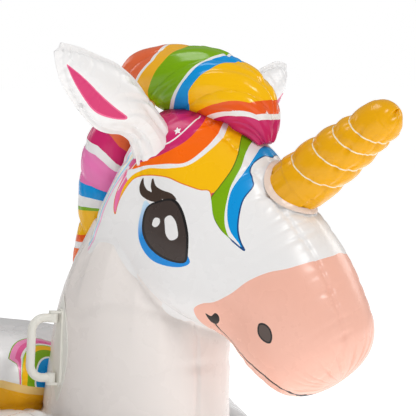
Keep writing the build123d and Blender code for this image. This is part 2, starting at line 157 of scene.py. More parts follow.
# ---------------------------------------------------------------- numeric helpers
def spline(knots, rows, at):
    """Natural cubic spline through rows at knots, read at the places in at."""
    k = np.asarray(knots, float)
    y = np.asarray(rows, float).reshape(len(k), -1)
    h = np.diff(k)
    n = len(k)
    a = np.eye(n)
    b = np.zeros_like(y)
    for i in range(1, n - 1):
        a[i, i - 1:i + 2] = h[i - 1], 2 * (h[i - 1] + h[i]), h[i]
        b[i] = 6 * ((y[i + 1] - y[i]) / h[i] - (y[i] - y[i - 1]) / h[i - 1])
    m = np.linalg.solve(a, b)
    i = np.clip(np.searchsorted(k, at) - 1, 0, n - 2)
    t = (at - k[i])[:, None]
    u = (k[i + 1] - at)[:, None]
    w = h[i][:, None]
    bend = (m[i] * u**3 + m[i + 1] * t**3) / (6 * w)
    return bend + (y[i] / w - m[i] * w / 6) * u + (y[i + 1] / w - m[i + 1] * w / 6) * t


def distances(points):
    """How far along a line of points each of them is."""
    return np.concatenate([[0], np.cumsum(np.linalg.norm(np.diff(points, axis=0), axis=1))])


def closed_curve(points, per=10):
    """Points along a smooth closed curve through the given corner points (Catmull-Rom)."""
    p = np.asarray(points, float)
    t = np.linspace(0, 1, per, endpoint=False)[:, None]
    out = []
    for i in range(len(p)):
        a, b, c, d = p[i - 1], p[i], p[(i + 1) % len(p)], p[(i + 2) % len(p)]
        squared = (2 * a - 5 * b + 4 * c - d) * t**2
        cubed = (3 * b - a - 3 * c + d) * t**3
        out.append(0.5 * (2 * b + (c - a) * t + squared + cubed))
    return np.concatenate(out)


def shape_distance(at, outline):
    """Signed distance of points to a closed outline, negative inside."""
    a = outline
    b = np.roll(outline, -1, axis=0)
    best = np.full(len(at), 1e9)
    inside = np.zeros(len(at), bool)
    for p, q in zip(a, b):
        d = q - p
        t = np.clip(((at - p) @ d) / max(d @ d, 1e-12), 0, 1)
        best = np.minimum(best, ((at - p - t[:, None] * d) ** 2).sum(1))
        crosses = (p[1] > at[:, 1]) != (q[1] > at[:, 1])
        with np.errstate(divide="ignore", invalid="ignore"):
            edge = (q[0] - p[0]) * (at[:, 1] - p[1]) / (q[1] - p[1]) + p[0]
            inside ^= crosses & (at[:, 0] < edge)
    best = np.sqrt(best)
    return np.where(inside, -best, best)


def line_distance(at, line):
    """Distance of 3-D points to an open line of points."""
    best = np.full(len(at), 1e9)
    for p, q in zip(line[:-1], line[1:]):
        d = q - p
        t = np.clip(((at - p) @ d) / max(d @ d, 1e-12), 0, 1)
        best = np.minimum(best, ((at - p - t[:, None] * d) ** 2).sum(1))
    return np.sqrt(best)


def flat_distance(at, points):
    """Distance of 2-D points to a smooth open curve."""
    zero = np.zeros((len(at), 1))
    line = open_curve(points)
    return line_distance(np.hstack([at, zero]), np.hstack([line, zero[:len(line)]]))


def open_curve(points, per=12):
    """Points along a smooth open curve through the given points."""
    p = np.asarray(points, float)
    k = distances(p)
    return spline(k, p, np.linspace(0, k[-1], per * (len(p) - 1) + 1))


def field(at, scale, seed=0.0):
    """Smooth noise, about -1 to 1, at each point."""
    return np.array([noise.noise(Vector((x * scale + seed, y * scale - seed, z * scale))) for x, y, z in at])


def waves(along, pitch, seed):
    """Irregular waves along a weld, about -1 to 1."""
    rng = np.random.default_rng(seed)
    total = np.zeros_like(along)
    for _ in range(5):
        total += np.sin(2 * np.pi * along / (pitch * rng.uniform(0.62, 1.9)) + rng.uniform(0, 6.28))
    return total / 2.6


def folds(along, pitch, seed):
    """The raised half of the waves, for creases with smooth vinyl between them."""
    return np.clip(waves(along, pitch, seed), 0, None)


def close(distance, reach):
    """1 on a line, fading away from it over the reach."""
    return np.exp(-np.abs(distance) / reach)


def groove_at(distance, width):
    """1 on a line, and 0 outside a round-sided groove of that half width."""
    return np.exp(-((distance / width) ** 2))


def star_distance(d, size, turn):
    """Signed distance, roughly, from offsets d to a five-pointed star."""
    r = np.hypot(*d.T)
    a = np.arctan2(d[:, 1], d[:, 0]) + turn
    spike = np.abs(((a * 5 / (2 * np.pi)) % 1) - 0.5) * 2
    return r - size * (0.36 + 0.64 * spike**1.6)


def whole(plan):
    """A half plan and its mirror image, as one ring."""
    return np.array([*plan, *[(-x, y) for x, y in reversed(plan[1:-1])]], float)


def creases(distance, along, pitch, height, reach, seed, groove=0.0022, width=0.0045):
    """Height over a weld: the pressed line and the creases that run away from it."""
    w = waves(along, pitch, seed)
    longer = 0.55 + 0.45 * waves(along, pitch * 2.3, seed + 7)
    fall = np.exp(-distance / (reach * np.clip(longer, 0.25, 1.5)))
    return -groove * groove_at(distance, width) - height * np.clip(w + 0.15, 0, None) ** 1.5 * fall


def on_pitch(pitch):
    """Direction in the YZ plane that points forward (-Y) and up by pitch degrees."""
    a = math.radians(pitch)
    return np.array([0, -math.cos(a), math.sin(a)])


# ---------------------------------------------------------------- bags
class Bag:
    """A grid of points over an inflated bag, with its normals and its own coordinates."""

    def __init__(self, points, closed_ends=(True, True)):
        self.p = points
        self.rows, self.around = points.shape[:2]
        self.closed_ends = closed_ends
        self.measure()

    def measure(self):
        across = np.roll(self.p, -1, 1) - np.roll(self.p, 1, 1)
        down = np.gradient(self.p, axis=0)
        n = np.cross(across, down)
        n /= np.linalg.norm(n, axis=2, keepdims=True) + 1e-12
        middle = self.p.mean(1, keepdims=True)
        if ((self.p - middle) * n).sum() < 0:
            n = -n
        self.n = n

    def push(self, height):
        """Moves every point along its normal."""
        self.p = self.p + self.n * height.reshape(self.rows, self.around, 1)

    def flat(self):
        return self.p.reshape(-1, 3)

    def build(self, name, material, slot, replaced, keep=None, **attributes):
        """Makes the Blender piece, leaving out the points where keep is false."""
        rows, around = self.rows, self.around
        v = self.flat()
        i = np.arange(rows - 1)[:, None] * around
        j = np.arange(around)[None, :]
        k = (j + 1) % around
        quads = np.stack([i + j, i + around + j, i + around + k, i + k], -1).reshape(-1, 4)
        faces = [tuple(q) for q in quads.tolist()]
        extra = []
        if self.closed_ends[0]:
            extra.append(self.p[0].mean(0))
            c = len(v)
            faces += [(c, a, (a + 1) % around) for a in range(around)]
        if self.closed_ends[1]:
            extra.append(self.p[-1].mean(0))
            c = len(v) + len(extra) - 1
            base = (rows - 1) * around
            faces += [(c, base + (a + 1) % around, base + a) for a in range(around)]
        verts = np.vstack([v, *[e[None] for e in extra]])
        if keep is not None:
            keep = np.concatenate([keep.ravel(), np.ones(len(extra), bool)])
            faces = [f for f in faces if all(keep[x] for x in f)]
        marks = {}
        for key, values in attributes.items():
            ends = [values.reshape(rows, around)[row].mean() for row in (0, -1)][:len(extra)]
            marks[key] = np.concatenate([values.ravel(), ends])
        ob = shape(name, verts, faces, material, marks)
        tidy(ob)
        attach(ob, "float")
        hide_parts(*replaced)
        return ob


def shape(name, verts, faces, material, marks=None):
    """A smooth mesh object, with a value at each point for each of the marks."""
    mesh = bpy.data.meshes.new(name)
    mesh.from_pydata(np.asarray(verts).tolist(), [], faces)
    for key, values in (marks or {}).items():
        attribute = mesh.attributes.new(key, "FLOAT", "POINT")
        attribute.data.foreach_set("value", values.astype(np.float32))
    mesh.update()
    for poly in mesh.polygons:
        poly.use_smooth = True
    mesh.materials.append(material)
    ob = bpy.data.objects.new(name, mesh)
    bpy.context.scene.collection.objects.link(ob)
    return ob


def tidy(ob):
    """Drops loose points and turns all faces outwards."""
    bm = bmesh.new()
    bm.from_mesh(ob.data)
    bmesh.ops.delete(bm, geom=[v for v in bm.verts if not v.link_faces], context="VERTS")
    bmesh.ops.recalc_face_normals(bm, faces=bm.faces)
    bm.to_mesh(ob.data)
    bm.free()


def tube(stations, around, step, edge=0.0):
    """A bag lofted through ellipses (origin, direction, x_dir, rx, ry), in millimetres.

    edge sharpens the two sides where the front and back panels are welded together."""
    o = np.array([s[0] for s in stations], float)
    z = np.array([s[1] for s in stations], float)
    x = np.array([s[2] for s in stations], float)
    r = np.array([(s[3], s[4]) for s in stations], float)
    k = distances(np.hstack([o, r.mean(1, keepdims=True)]))
    at = np.linspace(0, k[-1], 500)
    rows = spline(k, np.hstack([o, z, x, r]), at)
    mid = rows[:, :3] + rows[:, 6:9] * rows[:, 9:10]
    length = distances(mid)
    count = max(int(length[-1] / step), 8)
    at = np.interp(np.linspace(0, length[-1], count), length, at)
    rows = spline(k, np.hstack([o, z, x, r]), at)
    zd = rows[:, 3:6] / np.linalg.norm(rows[:, 3:6], axis=1, keepdims=True)
    xd = rows[:, 6:9] - zd * (rows[:, 6:9] * zd).sum(1, keepdims=True)
    xd /= np.linalg.norm(xd, axis=1, keepdims=True)
    yd = np.cross(zd, xd)
    rx = np.clip(rows[:, 9], 1, None)
    ry = np.clip(rows[:, 10], 1, None)
    phi = np.linspace(0, 2 * np.pi, around, endpoint=False)
    sharp = np.abs(np.sin(phi)) ** edge
    p = (rows[:, None, :3] + xd[:, None] * (rx[:, None] * np.cos(phi))[..., None]
         + yd[:, None] * (ry[:, None] * np.sin(phi) * sharp)[..., None])
    bag = Bag(p * MM)
    bag.s = np.repeat(((at - at[0]) / (at[-1] - at[0]))[:, None], around, 1)
    bag.phi = np.repeat(phi[None], len(at), 0)
    bag.along = np.repeat(distances(bag.p[:, 0])[:, None], around, 1)
    return bag


def pad(plan, centre_y, levels, around, step):
    """A flat bag whose plan grows and shrinks with height."""
    ring = closed_curve(whole(plan), 24)
    ring = np.vstack([ring, ring[:1]])
    length = distances(ring)
    at = np.linspace(0, length[-1], around, endpoint=False)
    ring = np.stack([np.interp(at, length, ring[:, i]) for i in (0, 1)], 1)
    lv = np.array(levels, float)
    reach = np.linalg.norm(ring - [0, centre_y], axis=1).mean()
    k = distances(lv * [1, reach])
    profile = spline(k, lv, np.linspace(0, k[-1], max(int(k[-1] / step), 12)))
    profile[:, 1] = np.clip(profile[:, 1], 0.004, None)
    profile[:, 0] = np.clip(profile[:, 0], lv[:, 0].min(), lv[:, 0].max())
    p = np.zeros((len(profile), around, 3))
    p[..., 0] = ring[None, :, 0] * profile[:, 1:2]
    p[..., 1] = centre_y + (ring[None, :, 1] - centre_y) * profile[:, 1:2]
    p[..., 2] = profile[:, :1]
    bag = Bag(p * MM)
    bag.along = np.repeat((at * MM)[None], len(profile), 0)
    return bag


def inside_bag(at, axis_at, along, brow, stations):
    """How far points are outside a straight bag, in metres, roughly. Negative is inside."""
    rows = np.array(stations, float)
    d = at / MM - np.asarray(axis_at, float)
    s = d @ along
    q = d @ brow
    c, deep, wide = spline(rows[:, 0], rows[:, 1:4], np.clip(s, rows[0, 0], rows[-1, 0])).T
    deep, wide = np.clip(deep, 3, None), np.clip(wide, 3, None)
    out = (np.sqrt((d[:, 0] / wide) ** 2 + ((q - c) / deep) ** 2) - 1) * np.sqrt(deep * wide)
    beyond = np.maximum(rows[0, 0] - s, s - rows[-1, 0])
    return np.where(beyond > 0, np.hypot(np.clip(out, 0, None), beyond), out) * MM


HEAD_BACK = -on_pitch(-HEAD_PITCH)
HEAD_BROW = on_pitch(90 - HEAD_PITCH)


def from_head(at):
    return inside_bag(at, MUZZLE, HEAD_BACK, HEAD_BROW, HEAD_STATIONS)


def from_neck(at):
    rows = [(z, y, d, w) for z, y, d, w in NECK_STATIONS]
    return inside_bag(at, (0, 0, 0), np.array([0, 0, 1.0]), np.array([0, 1.0, 0]), rows)


def from_hull(at):
    """How far points are outside the hull's rim and top, in metres, roughly."""
    ring = whole(HULL_PLAN)
    levels = np.array(HULL_LEVELS[3:-2], float)
    share = np.interp(at[:, 2] / MM, levels[:, 0], levels[:, 1])[:, None]
    centre = np.array([0, HULL_CENTRE_Y])
    plan = (at[:, :2] / MM - centre) / share + centre
    rim = shape_distance(plan, closed_curve(ring, 6)) * share[:, 0] * MM
    return np.maximum(rim, at[:, 2] - 0.2525)


def joined(distance, depth=0.007, width=0.016):
    """Height near a line where two bags are welded together: both dip towards it."""
    return -depth * close(distance, width)


# ---------------------------------------------------------------- materials
class Paint:
    """A vinyl material whose printed layers are drawn over one another."""

    def __init__(self, name, base, roughness=0.27, coat=0.04, ripple=0.12, scale=38.0, wrinkle=0.35):
        self.m = bpy.data.materials.new(name)
        self.m.use_nodes = True
        self.t = self.m.node_tree
        self.shader = self.t.nodes["Principled BSDF"]
        self.shader.inputs["Coat Weight"].default_value = coat
        self.shader.inputs["Coat Roughness"].default_value = 0.12
        self.shader.inputs["IOR"].default_value = 1.5
        self.shader.inputs["Specular IOR Level"].default_value = 0.3
        self.coord = self.node("ShaderNodeTexCoord").outputs["Object"]
        self.tint = self.remap(self.noise(6.0, 3.0), 0, 1, 0.955, 1.03)
        rgb = self.node("ShaderNodeRGB")
        rgb.outputs[0].default_value = (*base, 1)
        self.colour = rgb.outputs[0]
        rough = self.remap(self.noise(14.0, 4.0), 0, 1, roughness * 0.75, roughness * 1.3)
        self.link(rough, self.shader.inputs["Roughness"])
        fine = self.noise(scale, 6.0)
        cloudy = self.noise(9.0, 3.0)
        ridge = self.math("ABSOLUTE", self.math("SUBTRACT", cloudy, 0.5))
        ridge = self.math("SUBTRACT", 1.0, self.math("MULTIPLY", ridge, 5.0), clamp=True)
        ridge = self.math("MULTIPLY", self.math("POWER", ridge, 3.0), wrinkle * -0.35)
        both = self.math("ADD", self.math("MULTIPLY", fine, ripple), ridge)
        bump = self.node("ShaderNodeBump")
        bump.inputs["Strength"].default_value = 0.55
        bump.inputs["Distance"].default_value = 0.004
        self.link(both, bump.inputs["Height"])
        self.link(bump.outputs["Normal"], self.shader.inputs["Normal"])

    def node(self, kind):
        return self.t.nodes.new(kind)

    def link(self, a, b):
        self.t.links.new(a, b)

    def noise(self, scale, detail):
        n = self.node("ShaderNodeTexNoise")
        self.link(self.coord, n.inputs["Vector"])
        n.inputs["Scale"].default_value = scale
        n.inputs["Detail"].default_value = detail
        return n.outputs[0]

    def math(self, op, a, b=None, clamp=False):
        n = self.node("ShaderNodeMath")
        n.operation = op
        n.use_clamp = clamp
        for i, value in enumerate((a, b)):
            if value is None:
                continue
            if isinstance(value, (int, float)):
                n.inputs[i].default_value = value
            else:
                self.link(value, n.inputs[i])
        return n.outputs[0]

    def attribute(self, name):
        n = self.node("ShaderNodeAttribute")
        n.attribute_name = name
        return n.outputs["Fac"]

    def below(self, value, limit=0.0, soft=0.0006):
        """1 where value is under limit, 0 where it is over, with a thin soft edge."""
        return self.remap(value, limit - soft, limit + soft, 1.0, 0.0)

    def between(self, value, low, high):
        """1 where value lies between low and high."""
        return self.both(self.below(value, high), self.below(self.math("MULTIPLY", value, -1), -low))

    def both(self, a, b):
        return self.math("MULTIPLY", a, b)

    def near_edge(self, value, reach):
        """1 within reach of where a distance is zero."""
        return self.below(self.math("ABSOLUTE", value), reach)

    def remap(self, value, low, high, to_low=0.0, to_high=1.0):
        n = self.node("ShaderNodeMapRange")
        self.link(value, n.inputs["Value"])
        for key, number in (("From Min", low), ("From Max", high), ("To Min", to_low), ("To Max", to_high)):
            n.inputs[key].default_value = number
        return n.outputs["Result"]

    def mix(self, factor, a, b, blend="MIX"):
        """A colour mix. Each of a and b is a colour or a socket."""
        n = self.node("ShaderNodeMix")
        n.data_type = "RGBA"
        n.blend_type = blend
        for socket, value in ((n.inputs[0], factor), (n.inputs[6], a), (n.inputs[7], b)):
            if isinstance(value, tuple):
                socket.default_value = (*value, 1)
            elif isinstance(value, float):
                socket.default_value = value
            else:
                self.link(value, socket)
        return n.outputs[2]

    def over(self, colour, mask):
        """Prints a colour, or the colour of a socket, where mask is 1."""
        self.colour = self.mix(mask, self.colour, colour)

    def bands(self, value, stops):
        """Colours in steps along a value from 0 to 1. stops are (start, colour)."""
        n = self.node("ShaderNodeValToRGB")
        n.color_ramp.interpolation = "CONSTANT"
        while len(n.color_ramp.elements) > 1:
            n.color_ramp.elements.remove(n.color_ramp.elements[-1])
        n.color_ramp.elements[0].position = stops[0][0]
        n.color_ramp.elements[0].color = (*stops[0][1], 1)
        for at, colour in stops[1:]:
            e = n.color_ramp.elements.new(at)
            e.color = (*colour, 1)
        self.link(value, n.inputs["Fac"])
        return n.outputs["Color"]

    def done(self):
        self.link(self.mix(1.0, self.colour, self.tint, "MULTIPLY"), self.shader.inputs["Base Color"])
        return self.m


def plain(name, base, **options):
    return Paint(name, base, **options).done()


# ---------------------------------------------------------------- head
def head_print(points):
    """Head print coordinates: millimetres back from the muzzle, and round from the brow line."""
    d = points / MM - np.array(MUZZLE)
    s, q = d @ HEAD_BACK, d @ HEAD_BROW
    rows = np.array(HEAD_STATIONS, float)
    c, deep, wide = spline(rows[:, 0], rows[:, 1:4], np.clip(s, rows[0, 0], rows[-1, 0])).T
    t = 140 * np.arctan2(np.abs(d[:, 0]) / np.clip(wide, 3, None), (q - c) / np.clip(deep, 3, None))
    return np.stack([s, t], 1)


# Printed shapes on the head, in head print coordinates
HEAD_SHAPES = {
    "eye": [
        (421, 194), (416, 177), (401, 163), (372, 164), (335, 176), (308, 193), (292, 210), (308, 219),
        (338, 223), (370, 221), (398, 212),
    ],
    "rim": [
        (432, 190), (420, 203), (402, 216), (374, 228), (340, 233), (312, 229), (290, 219), (288, 206),
        (320, 196), (380, 190),
    ],
    "lash_1": [
        (472, 186), (464, 193), (450, 194), (436, 190), (422, 184), (412, 176), (420, 174), (436, 179),
        (448, 184), (460, 186),
    ],
    "lash_2": [
        (460, 172), (450, 178), (436, 179), (424, 177), (410, 171), (396, 162), (412, 161), (430, 168),
        (444, 172),
    ],
    "glint_1": [(395, 194), (388, 190), (380, 194), (380, 200), (388, 201)],
    "glint_2": [
        (382, 185), (380, 178), (366, 178), (350, 183), (338, 190), (342, 198), (356, 197), (370, 191),
    ],
    "muzzle": [
        (214, 306), (220, 288), (215, 272), (202, 258), (194, 226), (193, 190), (185, 156), (171, 122),
        (160, 62), (157, 24), (157, -30), (120, -200), (-80, -220), (-120, 300), (-60, 520), (80, 520),
        (150, 420), (196, 340),
    ],
    "curl": [
        (200, 297), (190, 300), (188, 286), (180, 290), (174, 303), (174, 318), (182, 322), (190, 313),
    ],
    "nostril": [(119, 234), (114, 222), (100, 217), (86, 223), (79, 236), (89, 246), (106, 247)],
    "region": [
        (452, 238), (470, 226), (481, 205), (471, 181), (446, 157), (416, 145), (388, 134), (376, 126),
        (358, 131), (330, 142), (302, 148), (272, 150), (244, 151), (262, 144), (284, 133), (308, 116),
        (328, 98), (341, 75), (354, 69), (378, 57), (388, 20), (385, -40), (500, -120), (640, 0),
        (600, 150), (545, 190), (515, 224), (496, 236), (478, 241),
    ],
    "orange": [
        (506, 214), (496, 182), (486, 147), (485, 110), (498, 78), (518, 40), (524, 0), (524, -60),
        (380, -60), (380, 80), (440, 130), (485, 190), (496, 216),
    ],
    "cream": [
        (505, 226), (497, 205), (487, 180), (467, 150), (448, 126), (451, 98), (464, 68), (489, 29),
        (496, -20), (470, -60), (400, -20), (400, 80), (436, 130), (476, 180), (484, 212),
    ],
    "yellow": [
        (484, 222), (489, 205), (479, 175), (456, 148), (440, 123), (444, 90), (457, 59), (480, 25),
        (488, -30), (440, -60), (380, 40), (368, 118), (390, 136), (446, 159), (470, 182), (478, 208),
        (468, 228),
    ],
    "green": [
        (446, 20), (436, 38), (408, 64), (388, 86), (372, 112), (360, 131), (330, 142), (300, 148),
        (276, 151), (260, 152), (270, 120), (330, 60), (376, 10), (384, -40), (448, -40),
    ],
    "line": [
        (427, 14), (409, 47), (384, 73), (364, 98), (342, 116), (322, 130), (300, 142), (272, 151),
        (240, 153), (250, 120), (330, 50), (370, -10), (410, -40), (432, -40),
    ],
    "blue": [
        (408, 10), (398, 32), (378, 65), (358, 98), (341, 114), (315, 130), (290, 141), (262, 147),
        (242, 151), (255, 110), (330, 40), (368, -10), (392, -40), (414, -40),
    ],
}
HEAD_LINES = {
    "mouth": [
        (180, 315), (158, 341), (122, 345), (80, 332), (46, 324), (16, 324), (-6, 338), (-18, 370),
        (-22, 440),
    ],
    "roots": [(560, 150), (524, 232), (509, 268), (489, 284), (466, 312)],
    "wisp": [(486, 236), (498, 222), (505, 204), (506, 170), (500, 130), (510, 90), (520, 60)],
}
MOUTH_THICKNESS = ([-20, 60, 150, 180], [4.6, 3.6, 2.2, 1.6])
HEAD_STARS = [(503, 170, 10.5), (511, 118, 8.5), (508, 226, 5), (499, 196, 4)]


def make_head():
    stations = [
        (tuple(np.array(MUZZLE) + HEAD_BACK * a + HEAD_BROW * c), tuple(HEAD_BACK), (1, 0, 0), w, d)
        for a, c, d, w in HEAD_STATIONS
    ]
    bag = tube(stations, 420, 3.0)
    at = bag.flat()
    printed = head_print(at)
    weld = np.abs(np.abs(at[:, 0]) - SEAM_HALF)
    along = bag.along.ravel()
    s = printed[:, 0]
    nose = np.exp(-(np.clip(s + 34, 0, None) / 34) ** 2)
    lift = creases(weld, along, 0.040, 0.0022, 0.026, 3) * np.clip((s + 40) / 60, 0.3, 1)
    lift -= 0.0036 * folds(printed[:, 1] * 0.0007, 0.024, 9) * nose * np.clip((s + 34) / 16, 0, 1)
    lift += 0.0020 * field(at, 5.5, 2.0) + 0.0008 * field(at, 16, 5.0)
    neck = from_neck(at)
    lift += joined(neck, 0.010, 0.014)
    lift -= 0.0030 * folds(at[:, 0] + at[:, 2] * 0.4, 0.055, 21) * close(neck, 0.05)
    horn = at / MM - np.array(HORN_BASE)
    axis = on_pitch(HORN_PITCH)
    a = horn @ axis
    ring = np.linalg.norm(horn - a[:, None] * axis, axis=1) * MM
    near = np.abs(ring - 0.066) + np.abs(np.clip(a, None, 0)) * MM * 0.2
    angle = np.arctan2(horn[:, 0], horn @ np.cross(axis, [1, 0, 0]))
    horn_weld = 0.004 * close(near, 0.010) + 0.0022 * folds(angle * 0.066, 0.035, 33) * close(near, 0.026)
    lift -= np.where(a > -60, horn_weld, 0)
    for line in EAR_LINES.values():
        root = np.array(line[0], float) * MM
        d = np.linalg.norm(at - root, axis=1)
        e = np.abs(d - 0.062)
        turn = np.arctan2(at[:, 2] - root[2], at[:, 1] - root[1])
        lift -= 0.0028 * folds(turn * 0.06, 0.034, 41) * close(e, 0.022)
    bag.push(lift)
    bag.measure()

    marks = {key: shape_distance(printed, closed_curve(points, 8)) for key, points in HEAD_SHAPES.items()}
    for key in ("lash", "glint"):
        marks[key] = np.minimum(marks.pop(key + "_1"), marks.pop(key + "_2"))
    lines = {key: flat_distance(printed, points) for key, points in HEAD_LINES.items()}
    thickness = np.interp(s, *MOUTH_THICKNESS)
    marks["smile"] = np.minimum(marks.pop("curl"), lines["mouth"] - thickness)
    marks["roots"], marks["wisp"] = lines["roots"], lines["wisp"]
    marks["along"], marks["turn"] = printed.T
    stars = [star_distance(printed - [at_s, at_t], size, 0.3) for at_s, at_t, size in HEAD_STARS]
    marks["star"] = np.min(stars, axis=0)

    m = Paint("head_vinyl", WHITE)
    a = m.attribute
    m.over((0.93, 0.86, 0.62), m.below(a("roots"), 3.0))
    m.over((0.36, 0.66, 0.86), m.between(a("roots"), 6.0, 12.0))
    m.over((0.90, 0.45, 0.66), m.between(a("roots"), 15.0, 21.0))
    inside = m.below(a("region"), 0.0)
    m.over(m.mix(m.remap(a("turn"), 236, 190), PINK, MAGENTA), inside)
    for key, colour in (("orange", ORANGE), ("cream", WHITE), ("yellow", YELLOW)):
        m.over(colour, m.both(m.below(a(key), 0.0), inside))
    m.over((0.80, 0.20, 0.01), m.both(inside, m.near_edge(a("region"), 1.5)))
    m.over((0.10, 0.16, 0.01), m.both(m.below(a("green"), 1.0), inside))
    m.over(GREEN, m.both(m.below(a("green"), -0.6), inside))
    for key, colour in (("line", WHITE), ("blue", BLUE)):
        m.over(colour, m.both(m.below(a(key), 0.0), inside))
    m.over((0.01, 0.07, 0.22), m.both(m.near_edge(a("region"), 1.1), m.below(a("line"), 0.0)))
    m.over(WHITE, m.both(m.below(a("wisp"), 1.3), inside))
    m.over(WHITE, m.below(a("star"), 0.0))
    m.over((0.90, 0.47, 0.36), m.below(a("muzzle"), 0.0))
    warm = m.both(m.remap(m.noise(5.0, 2.0), 0, 1), 0.8)
    m.over((0.95, 0.57, 0.46), m.both(m.below(a("muzzle"), -1.0), warm))
    m.over(INK, m.below(a("smile"), 0.0))
    m.over(INK, m.below(a("nostril"), 0.0))
    m.over((0.10, 0.07, 0.06), m.below(a("nostril"), -3.5))
    m.over((0.0, 0.26, 0.74), m.below(a("rim"), 0.0))
    m.over((0.62, 0.80, 0.92), m.both(m.below(a("rim"), 0.0), m.remap(a("along"), 385, 432)))
    m.over((0.055, 0.033, 0.024), m.below(a("lash"), 0.0))
    m.over(INK, m.below(a("eye"), 0.0))
    m.over((0.052, 0.036, 0.031), m.below(a("eye"), -3.2))
    m.over(WHITE, m.below(a("glint"), 0.0))
    panels = ["head_left_panel", "head_right_panel", "head_gusset"]
    bag.build("head_bag", m.done(), "head_print", panels, keep=neck > -0.030, **marks)


# ---------------------------------------------------------------- neck
def make_neck():
    stations = [((0, y, z), (0, 0, 1), (1, 0, 0), w, d) for z, y, d, w in NECK_STATIONS]
    bag = tube(stations, 300, 4.0)
    at = bag.flat()
    weld = np.abs(np.abs(at[:, 0]) - SEAM_HALF)
    lift = creases(weld, at[:, 2], 0.060, 0.0020, 0.030, 13, 0.0040, 0.0040)
    lift += 0.0025 * field(at, 4.5, 8.0) + 0.0008 * field(at, 15, 9.0)
    head = from_head(at)
    lift += joined(head, 0.012, 0.016)
    fold = head - 0.050 - 0.30 * (at[:, 1] + 0.42)
    lift -= 0.0035 * groove_at(fold, 0.007) * np.clip((np.abs(at[:, 0]) - 0.07) / 0.03, 0, 1)
    round_neck = bag.phi.ravel()
    lift -= 0.0045 * folds(round_neck * 0.15, 0.075, 17) * close(np.clip(head, 0, None), 0.06)
    foot = from_hull(at)
    lift += joined(foot, 0.006, 0.012)
    lift -= 0.0042 * folds(round_neck * 0.17, 0.060, 19) * close(foot, 0.04)
    for side in (-1, 1):
        from_patch = at - np.array([side * 0.125, -0.319, 0.380])
        patch = np.abs(np.linalg.norm(from_patch * [0.6, 1, 0.55], axis=1) - 0.052)
        lift -= 0.0012 * folds(round_neck * 0.15 + at[:, 2], 0.03, 23) * close(patch, 0.012)
    valve = np.linalg.norm(at - np.array([0, -0.2462, 0.440]), axis=1)
    lift *= np.clip((valve - 0.024) / 0.03, 0, 1)
    for side in (-1, 1):
        from_patch = at - np.array([side * 0.125, -0.319, 0.380])
        near = np.linalg.norm(from_patch * [1, 1, 0.45], axis=1)
        lift *= np.clip((near - 0.034) / 0.03, 0.0, 1)
    bag.push(lift)
    bag.measure()
    # Painted shade: the neck's white vinyl gets a darker, warmer grey than the other white bags, standing in
    # for the shade on the lower neck under light from above.
    m = Paint("neck_vinyl", (0.84, 0.785, 0.75))
    panels = ["neck_left_panel", "neck_right_panel", "neck_front_gusset", "neck_back_gusset"]
    bag.build("neck_bag", m.done(), "white_vinyl", panels, keep=(head > -0.030) & (foot > -0.035))


# ---------------------------------------------------------------- hull and seat
def flange(name, ring, material, width=0.009, thick=0.0011):
    """The flat welded edge that stands out round a bag."""
    ring = np.asarray(ring)
    tangent = np.roll(ring, -1, 0) - np.roll(ring, 1, 0)
    out = np.cross(tangent, [0, 0, 1.0])
    out /= np.linalg.norm(out, axis=1, keepdims=True)
    if (out * (ring - ring.mean(0))).sum() < 0:
        out = -out
    wave = np.outer(waves(distances(ring), 0.07, 77) * 0.0016, [0, 0, 1])
    top = np.array([0, 0, thick])
    rows = [
        ring - out * 0.004 + top,
        ring + out * width * 0.8 + top + wave,
        ring + out * width + wave,
        ring + out * width * 0.8 - top + wave,
        ring - out * 0.004 - top,
    ]
    count = len(ring)
    faces = []
    for i in range(len(rows)):
        this, after = i * count, (i + 1) % len(rows) * count
        for j in range(count):
            k = (j + 1) % count
            faces.append((this + j, this + k, after + k, after + j))
    ob = shape(name, np.concatenate(rows), faces, material)
    tidy(ob)
    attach(ob, "float")


